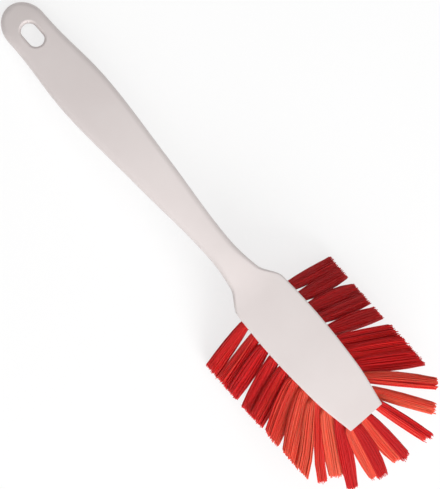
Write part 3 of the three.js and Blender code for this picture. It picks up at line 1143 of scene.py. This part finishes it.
@dataclass(frozen=True)
class BristleFinish:
    """Red polyester filament, each one a little darker or lighter than the next, with painted shade and a
    painted orange highlight: sizes in millimetres.
    """

    # The deep red is painted shade and the bright orange-red a painted highlight; the middle red is the
    # filament's own colour.
    painted_shade_red: Colour = (0.46, 0.006, 0.008)
    middle: Colour = (0.74, 0.010, 0.012)
    bright: Colour = (0.97, 0.135, 0.072)
    middle_at: float = 0.5
    root_shade: float = 0.95
    gloss: float = 0.2
    glow: float = 0.5
    glow_depth: float = 0.8
    glow_reach: Colour = (1.0, 0.15, 0.1)
    sheen_fineness: float = 900
    smoothest: float = 0.42
    roughest: float = 0.58

    def material(self, mottle: bpy.types.NodeTree) -> bpy.types.Material:
        """Builds the filament: its colour from the strand's own attribute, its own tone with painted shade
        and painted highlight, and painted shade towards the root.

        Args:
            mottle: The shared noise group.

        Returns:
            The material.
        """
        made, board, shader = start_material("red_filament")
        shader.inputs["Specular IOR Level"].default_value = self.gloss
        shader.inputs["Subsurface Weight"].default_value = self.glow
        shader.inputs["Subsurface Radius"].default_value = self.glow_reach
        shader.inputs["Subsurface Scale"].default_value = self.glow_depth * MM
        tone = board.add("ShaderNodeAttribute", attribute_name="tone")
        # Lightness to colour: painted shade at the dark end, the filament's own red in the middle, a painted
        # orange highlight at the bright end.
        ramp = board.add("ShaderNodeValToRGB")
        ramp.color_ramp.elements[0].color = (*self.painted_shade_red, 1)
        ramp.color_ramp.elements[1].color = (*self.bright, 1)
        ramp.color_ramp.elements.new(self.middle_at).color = (*self.middle, 1)
        # Painted shade: the filaments darken towards the root.
        reach = board.add("ShaderNodeAttribute", attribute_name="reach")
        fade = board.add("ShaderNodeMapRange", To_Min=self.root_shade, To_Max=1.0)
        tint = board.add("ShaderNodeMix", data_type="RGBA", blend_type="MULTIPLY")
        tint.inputs["Factor"].default_value = 1.0
        uneven = {"Fineness": self.sheen_fineness, "Low": self.smoothest, "High": self.roughest}
        sheen = add_mottle(board, mottle, **uneven)
        board.join(tone.outputs["Fac"], ramp.inputs["Fac"])
        board.join(reach.outputs["Fac"], fade.inputs["Value"])
        board.join(ramp.outputs["Color"], tint.inputs["A"])
        board.join(fade.outputs["Result"], tint.inputs["B"])
        board.join(tint.outputs["Result"], shader.inputs["Base Color"])
        board.join(sheen, shader.inputs["Roughness"])
        return made


@dataclass(frozen=True)
class SteelFinish:
    """Bright flat stainless wire, drawn lengthways."""

    bright: Colour = (0.64, 0.65, 0.67)
    dull: Colour = (0.52, 0.53, 0.55)
    streak_stretch: float = 0.1
    streak_fineness: float = 2500
    sheen_fineness: float = 3000
    smoothest: float = 0.22
    roughest: float = 0.4

    def material(self, mottle: bpy.types.NodeTree) -> bpy.types.Material:
        """Builds the steel: drawn streaks in its colour and gloss.

        Args:
            mottle: The shared noise group.

        Returns:
            The material.
        """
        made, board, shader = start_material("drawn_steel")
        shader.inputs["Metallic"].default_value = 1.0
        colour = mix_colours(board, self.bright, self.dull)
        drawn = {"Stretch": self.streak_stretch, "Fineness": self.streak_fineness}
        board.join(add_mottle(board, mottle, **drawn), colour.inputs["Factor"])
        board.join(colour.outputs["Result"], shader.inputs["Base Color"])
        drawn |= {"Fineness": self.sheen_fineness, "Low": self.smoothest, "High": self.roughest}
        board.join(add_mottle(board, mottle, **drawn), shader.inputs["Roughness"])
        return made


def seen_directly(board: NodeBoard) -> bpy.types.NodeSocket:
    """Adds a mask of the rays that show a surface: straight from the camera, in gloss or through glass.

    Args:
        board: The nodes of the floor or the world.

    Returns:
        The mask's socket, 1 for such a ray.
    """
    rays = board.add("ShaderNodeLightPath")
    first = board.add("ShaderNodeMath", operation="MAXIMUM")
    either = board.add("ShaderNodeMath", operation="MAXIMUM")
    board.join(rays.outputs["Is Camera Ray"], first.inputs[0])
    board.join(rays.outputs["Is Glossy Ray"], first.inputs[1])
    board.join(first.outputs["Value"], either.inputs[0])
    board.join(rays.outputs["Is Transmission Ray"], either.inputs[1])
    return either.outputs["Value"]


@dataclass
class Studio:
    """The floor, the lights and the camera: metres, degrees and watts, and the sensor in millimetres."""

    floor_size: float = 8
    floor_colour: Colour = (0.95, 0.95, 0.95)
    floor_glow: float = 0.75
    sky: float = 0.27
    key_power: float = 25.5
    key_size: float = 1.1
    key_distance: float = 1.7
    key_azimuth: float = -20
    key_elevation: float = 36
    top_power: float = 12.8
    top_size: float = 1.6
    top_height: float = 1.8
    sensor: float = 36
    view: View = View()

    def build(self, lying: Matrix) -> None:
        """Sets the floor, the lights, the world and the camera round the brush.

        Args:
            lying: Level millimetres to frame metres.
        """
        self._floor()
        target = lying @ Vector(self.view.aim)
        azimuth = math.radians(self.key_azimuth)
        elevation = math.radians(self.key_elevation)
        key = Vector((math.cos(azimuth), math.sin(azimuth), 0)) * math.cos(elevation)
        key.z = math.sin(elevation)
        self._lamp("key", target + key * self.key_distance, target, self.key_size, self.key_power)
        overhead = target + Vector((0, 0, self.top_height))
        self._lamp("top", overhead, target, self.top_size, self.top_power)
        self._world()
        self._camera(lying, target)

    def _floor(self) -> None:
        """Lays a plain pale floor that is seen from above only."""
        deselect_all()
        bpy.ops.mesh.primitive_plane_add(size=self.floor_size, location=(0, 0, 0))
        floor = bpy.context.object
        floor.name = "floor"
        made = bpy.data.materials.new("floor")
        made.use_nodes = True
        board = NodeBoard(made.node_tree)
        output = board.add("ShaderNodeOutputMaterial")
        paint = board.add("ShaderNodeBsdfDiffuse", Color=(*self.floor_colour, 1))
        glow = board.add("ShaderNodeEmission", Color=WHITE, Strength=1.0)
        clear = board.add("ShaderNodeBsdfTransparent")
        share = board.add("ShaderNodeMath", operation="MULTIPLY")
        share.inputs[1].default_value = self.floor_glow
        pale = board.add("ShaderNodeMixShader")
        side = board.add("ShaderNodeNewGeometry")
        mix = board.add("ShaderNodeMixShader")
        board.join(seen_directly(board), share.inputs[0])
        board.join(share.outputs["Value"], pale.inputs["Fac"])
        board.join(paint.outputs["BSDF"], pale.inputs[1])
        board.join(glow.outputs["Emission"], pale.inputs[2])
        board.join(side.outputs["Backfacing"], mix.inputs["Fac"])
        board.join(pale.outputs["Shader"], mix.inputs[1])
        board.join(clear.outputs["BSDF"], mix.inputs[2])
        board.join(mix.outputs["Shader"], output.inputs["Surface"])
        floor.data.materials.append(made)

    def _lamp(self, name: str, place: Vector, target: Vector, size: float, power: float) -> None:
        """Hangs a square soft lamp.

        Args:
            name: The lamp's name.
            place: Where it hangs.
            target: What it points at.
            size: Its width.
            power: Its power.
        """
        lamp = bpy.data.lights.new(name, "AREA")
        lamp.size = size
        lamp.energy = power
        thing = bpy.data.objects.new(name, lamp)
        turn = (target - place).to_track_quat("-Z", "Y").to_matrix()
        thing.matrix_world = Matrix.Translation(place) @ turn.to_4x4()
        bpy.context.scene.collection.objects.link(thing)

    def _world(self) -> None:
        """Lights the brush evenly from all round, and shows white behind it."""
        world = bpy.data.worlds.new("studio")
        world.use_nodes = True
        board = NodeBoard(world.node_tree)
        output = board.add("ShaderNodeOutputWorld")
        light = board.add("ShaderNodeBackground", Color=WHITE, Strength=self.sky)
        white = board.add("ShaderNodeBackground", Color=WHITE, Strength=1.0)
        mix = board.add("ShaderNodeMixShader")
        board.join(seen_directly(board), mix.inputs["Fac"])
        board.join(light.outputs["Background"], mix.inputs[1])
        board.join(white.outputs["Background"], mix.inputs[2])
        board.join(mix.outputs["Shader"], output.inputs["Surface"])
        bpy.context.scene.world = world

    def _camera(self, lying: Matrix, target: Vector) -> None:
        """Looks down on the brush, which is turned and slightly rolled as in the photo.

        Args:
            lying: Level millimetres to frame metres.
            target: What the camera points at.
        """
        spin = Matrix.Rotation(math.radians(self.view.brush_turn), 3, "Z")
        turn = lying.to_3x3().normalized() @ self.view.roll() @ spin
        distance = self.view.distance * MM
        camera = bpy.data.cameras.new("camera")
        camera.sensor_fit = "VERTICAL"
        camera.sensor_height = self.sensor
        view_height = self.view.picture_height / self.view.pixels_per_millimetre * MM
        camera.lens = self.sensor * distance / view_height
        thing = bpy.data.objects.new("camera", camera)
        place = target + turn @ Vector((0, 0, distance))
        thing.matrix_world = Matrix.Translation(place) @ turn.to_4x4()
        bpy.context.scene.collection.objects.link(thing)
        bpy.context.scene.camera = thing
        bpy.context.scene.view_settings.view_transform = "Standard"


@dataclass
class Brush:
    """The whole dish brush."""

    handle: Handle = field(default_factory=Handle)
    bristle: Bristle = field(default_factory=Bristle)
    view: View = View()
    seed: int = 11

    def lying(self) -> Matrix:
        """Finds how the level brush lies in the frame.

        Returns:
            The matrix from level millimetres to frame metres, from the scraper mount's place and axis.
        """
        mount = next(m for m in frame["record"]["mounts"] if m["name"] == "scraper_edge")
        ahead = Vector(mount["axis"]).normalized()
        left = Vector((0, 1, 0))
        up = ahead.cross(left)
        turn = Matrix((ahead, left, up)).transposed()
        below_back = self.handle.scraper_drop + self.handle.rim_height / 2
        level = Vector((self.handle.body_length, 0, -below_back)) * MM
        start = Vector(mount["pos_m"]) - turn @ level
        return Matrix.Translation(start) @ turn.to_4x4() @ Matrix.Scale(MM, 4)

    def tufts(self, lying: Matrix) -> list[Tuft]:
        """Finds the tufts of every row.

        Args:
            lying: Level millimetres to frame metres.

        Returns:
            The tufts, row by row.
        """
        found = []
        for row, lays in LAYS.items():
            found += [Tuft(row, i + 1, lay, lying, self.view) for i, lay in enumerate(lays)]
        return found

    def build(self, lying: Matrix) -> None:
        """Builds and dresses every piece.

        Args:
            lying: Level millimetres to frame metres.
        """
        mottle = Mottle().group()
        plastic = PlasticFinish().material(mottle)
        filament = BristleFinish().material(mottle)
        steel = SteelFinish().material(mottle)
        tufts = self.tufts(lying)
        moulding = self.handle.build(lying)
        self.handle.cut_sockets(moulding, tufts)
        self.handle.dress(moulding, plastic)
        LOG.info("%s: %d faces", moulding.name, len(moulding.data.polygons))
        template = self.bristle.template()
        chance = random.Random(self.seed)
        for tuft in tufts:
            piece = tuft.build(self.bristle, template, chance)
            tuft.dress(piece, filament)
            LOG.info("%s: %d faces", piece.name, len(piece.data.polygons))
        bpy.data.meshes.remove(template)
        for name, node in frame["nodes"].items():
            if name.startswith("anchor_"):
                node.data.materials.clear()
                node.data.materials.append(steel)
                LOG.info("%s keeps its CAD shape", name)


def main() -> None:
    """Builds the brush and its studio."""
    logging.basicConfig(level=logging.INFO, format="%(name)s: %(message)s")
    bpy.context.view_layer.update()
    brush = Brush()
    lying = brush.lying()
    brush.build(lying)
    Studio().build(lying)


if __name__ == "__main__":
    main()
